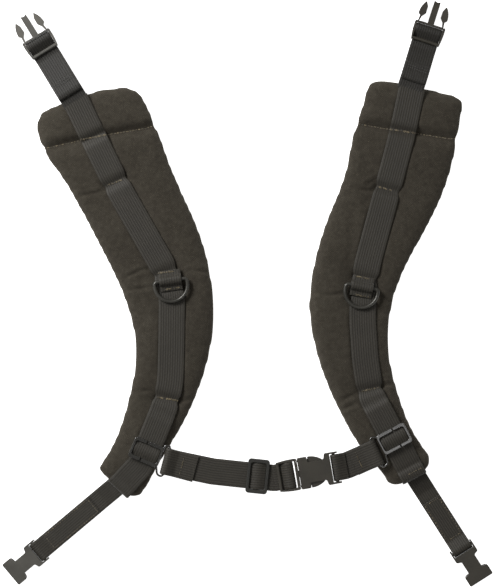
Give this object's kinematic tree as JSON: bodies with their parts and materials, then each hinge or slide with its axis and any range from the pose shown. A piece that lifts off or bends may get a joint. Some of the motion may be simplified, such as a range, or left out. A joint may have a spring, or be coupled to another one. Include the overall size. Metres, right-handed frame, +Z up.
{
  "type": "padded shoulder harness",
  "caption": "Padded shoulder harness lying flat: curved padded straps joined by a buckled chest strap, with D-rings and side-release buckles at the strap ends.",
  "frame": {"origin": "middle of the footprint, on the surface the harness lies on", "axes": "+Y towards the shoulder ends, +Z up off the surface, -X is the side with the male half of the chest buckle"},
  "size_m": [0.4704, 0.563, 0.0198],
  "materials": {
    "foam": "closed cell foam, hidden",
    "knit": "fine speckled knit",
    "webbing": "ribbed flat weave",
    "thread": "sewing thread",
    "buckle": "moulded acetal",
    "slider": "moulded acetal, slightly glossy",
    "ring": "dark coated wire"
  },
  "bodies": {
    "chest_right": {"sternum_webbing_right": "webbing", "sternum_female_buckle": "buckle"},
    "chest_left": {"sternum_webbing_left": "webbing", "sternum_male_body": "buckle"},
    "chest_latch_upper": {"sternum_latch_upper": "buckle"},
    "chest_latch_lower": {"sternum_latch_lower": "buckle"},
    "tri_glide": {"tri_glide": "slider"},
    "slider_left": {"sternum_slider_left": "slider"},
    "pad_left": {"pad_foam_left": "foam", "pad_cover_left": "knit", "pad_lining_left": "knit", "face_webbing_left": "webbing", "d_ring_loop_left": "webbing", "bar_tacks_left": "thread"},
    "ring_left": {"d_ring_left": "ring"},
    "shoulder_strap_left": {"upper_webbing_left": "webbing"},
    "shoulder_buckle_left": {"upper_buckle_body_left": "buckle"},
    "shoulder_latch_outer_left": {"upper_latch_outer_left": "buckle"},
    "shoulder_latch_inner_left": {"upper_latch_inner_left": "buckle"},
    "lower_strap_left": {"lower_webbing_left": "webbing"},
    "lower_buckle_left": {"lower_buckle_left": "buckle"},
    "slider_right": {"sternum_slider_right": "slider"},
    "pad_right": {"pad_foam_right": "foam", "pad_cover_right": "knit", "pad_lining_right": "knit", "face_webbing_right": "webbing", "d_ring_loop_right": "webbing", "bar_tacks_right": "thread"},
    "ring_right": {"d_ring_right": "ring"},
    "shoulder_strap_right": {"upper_webbing_right": "webbing"},
    "shoulder_buckle_right": {"upper_buckle_body_right": "buckle"},
    "shoulder_latch_outer_right": {"upper_latch_outer_right": "buckle"},
    "shoulder_latch_inner_right": {"upper_latch_inner_right": "buckle"},
    "lower_strap_right": {"lower_webbing_right": "webbing"},
    "lower_buckle_right": {"lower_buckle_right": "buckle"}
  },
  "joints": [
    {"name": "chest_buckle_release", "type": "slide", "parent": "chest_right", "child": "chest_left", "axis": [-0.9857, -0.1685, 0], "range_m": [0, 0.034], "deforming": ["sternum_latch_upper", "sternum_latch_lower"]},
    {"name": "chest_latch_upper_squeeze", "type": "hinge", "parent": "chest_left", "child": "chest_latch_upper", "pos_m": [0.04736, -0.16069, 0.01575], "axis": [0, 0, -1], "range_deg": [0, 11], "stiffness_Nm_per_rad": 0.3},
    {"name": "chest_latch_lower_squeeze", "type": "hinge", "parent": "chest_left", "child": "chest_latch_lower", "pos_m": [0.05144, -0.18454, 0.01575], "axis": [0, 0, 1], "range_deg": [0, 11], "stiffness_Nm_per_rad": 0.3},
    {"name": "tri_glide_adjust", "type": "slide", "parent": "chest_left", "child": "tri_glide", "axis": [-0.9943, 0.1063, 0], "range_m": [0, 0.025]},
    {"name": "chest_strap_pivot_left", "type": "hinge", "parent": "chest_left", "child": "slider_left", "pos_m": [-0.07771, -0.16078, 0.01575], "axis": [0.2588, 0.9659, 0], "range_deg": [0, 70]},
    {"name": "slider_travel_left", "type": "slide", "parent": "slider_left", "child": "pad_left", "axis": [-0.3907, -0.9205, 0], "range_m": [0, 0.025]},
    {"name": "d_ring_swing_left", "type": "hinge", "parent": "pad_left", "child": "ring_left", "pos_m": [-0.07381, 0.01252, 0.01585], "axis": [-0.9903, -0.1392, 0], "range_deg": [0, 165]},
    {"name": "shoulder_strap_fold_left", "type": "hinge", "parent": "pad_left", "child": "shoulder_strap_left", "pos_m": [-0.16751, 0.18832, 0.01305], "axis": [0.8517, 0.524, 0], "range_deg": [0, 100]},
    {"name": "shoulder_buckle_pivot_left", "type": "hinge", "parent": "shoulder_strap_left", "child": "shoulder_buckle_left", "pos_m": [-0.20094, 0.24266, 0.004], "axis": [-0.8517, -0.524, 0], "range_deg": [0, 40]},
    {"name": "shoulder_latch_outer_squeeze_left", "type": "hinge", "parent": "shoulder_buckle_left", "child": "shoulder_latch_outer_left", "pos_m": [-0.21433, 0.24134, 0.004], "axis": [0, 0, -1], "range_deg": [0, 11], "stiffness_Nm_per_rad": 0.3},
    {"name": "shoulder_latch_inner_squeeze_left", "type": "hinge", "parent": "shoulder_buckle_left", "child": "shoulder_latch_inner_left", "pos_m": [-0.19372, 0.25402, 0.004], "axis": [0, 0, 1], "range_deg": [0, 11], "stiffness_Nm_per_rad": 0.3},
    {"name": "lower_strap_fold_left", "type": "hinge", "parent": "pad_left", "child": "lower_strap_left", "pos_m": [-0.12881, -0.18748, 0.0045], "axis": [-0.6428, 0.766, 0], "range_deg": [0, 80]},
    {"name": "lower_buckle_pivot_left", "type": "hinge", "parent": "lower_strap_left", "child": "lower_buckle_left", "pos_m": [-0.20097, -0.24804, 0.004], "axis": [-0.6428, 0.766, 0], "range_deg": [-50, 50]},
    {"name": "chest_strap_pivot_right", "type": "hinge", "parent": "chest_right", "child": "slider_right", "pos_m": [0.12319, -0.15248, 0.01575], "axis": [0.4115, -0.9114, 0], "range_deg": [0, 70]},
    {"name": "slider_travel_right", "type": "slide", "parent": "slider_right", "child": "pad_right", "axis": [0.4695, -0.8829, 0], "range_m": [0, 0.025]},
    {"name": "d_ring_swing_right", "type": "hinge", "parent": "pad_right", "child": "ring_right", "pos_m": [0.10989, 0.00652, 0.01585], "axis": [-0.9816, 0.1908, 0], "range_deg": [0, 165]},
    {"name": "shoulder_strap_fold_right", "type": "hinge", "parent": "pad_right", "child": "shoulder_strap_right", "pos_m": [0.15749, 0.20072, 0.01305], "axis": [0.9527, -0.304, 0], "range_deg": [0, 100]},
    {"name": "shoulder_buckle_pivot_right", "type": "hinge", "parent": "shoulder_strap_right", "child": "shoulder_buckle_right", "pos_m": [0.17434, 0.25349, 0.004], "axis": [-0.9527, 0.304, 0], "range_deg": [0, 40]},
    {"name": "shoulder_latch_outer_squeeze_right", "type": "hinge", "parent": "shoulder_buckle_right", "child": "shoulder_latch_outer_right", "pos_m": [0.18766, 0.25544, 0.004], "axis": [0, 0, 1], "range_deg": [0, 11], "stiffness_Nm_per_rad": 0.3},
    {"name": "shoulder_latch_inner_squeeze_right", "type": "hinge", "parent": "shoulder_buckle_right", "child": "shoulder_latch_inner_right", "pos_m": [0.1646, 0.26279, 0.004], "axis": [0, 0, -1], "range_deg": [0, 11], "stiffness_Nm_per_rad": 0.3},
    {"name": "lower_strap_fold_right", "type": "hinge", "parent": "pad_right", "child": "lower_strap_right", "pos_m": [0.16349, -0.17858, 0.0045], "axis": [-0.8434, -0.5373, 0], "range_deg": [0, 80]},
    {"name": "lower_buckle_pivot_right", "type": "hinge", "parent": "lower_strap_right", "child": "lower_buckle_right", "pos_m": [0.20632, -0.2458, 0.004], "axis": [-0.8434, -0.5373, 0], "range_deg": [-50, 50]}
  ]
}
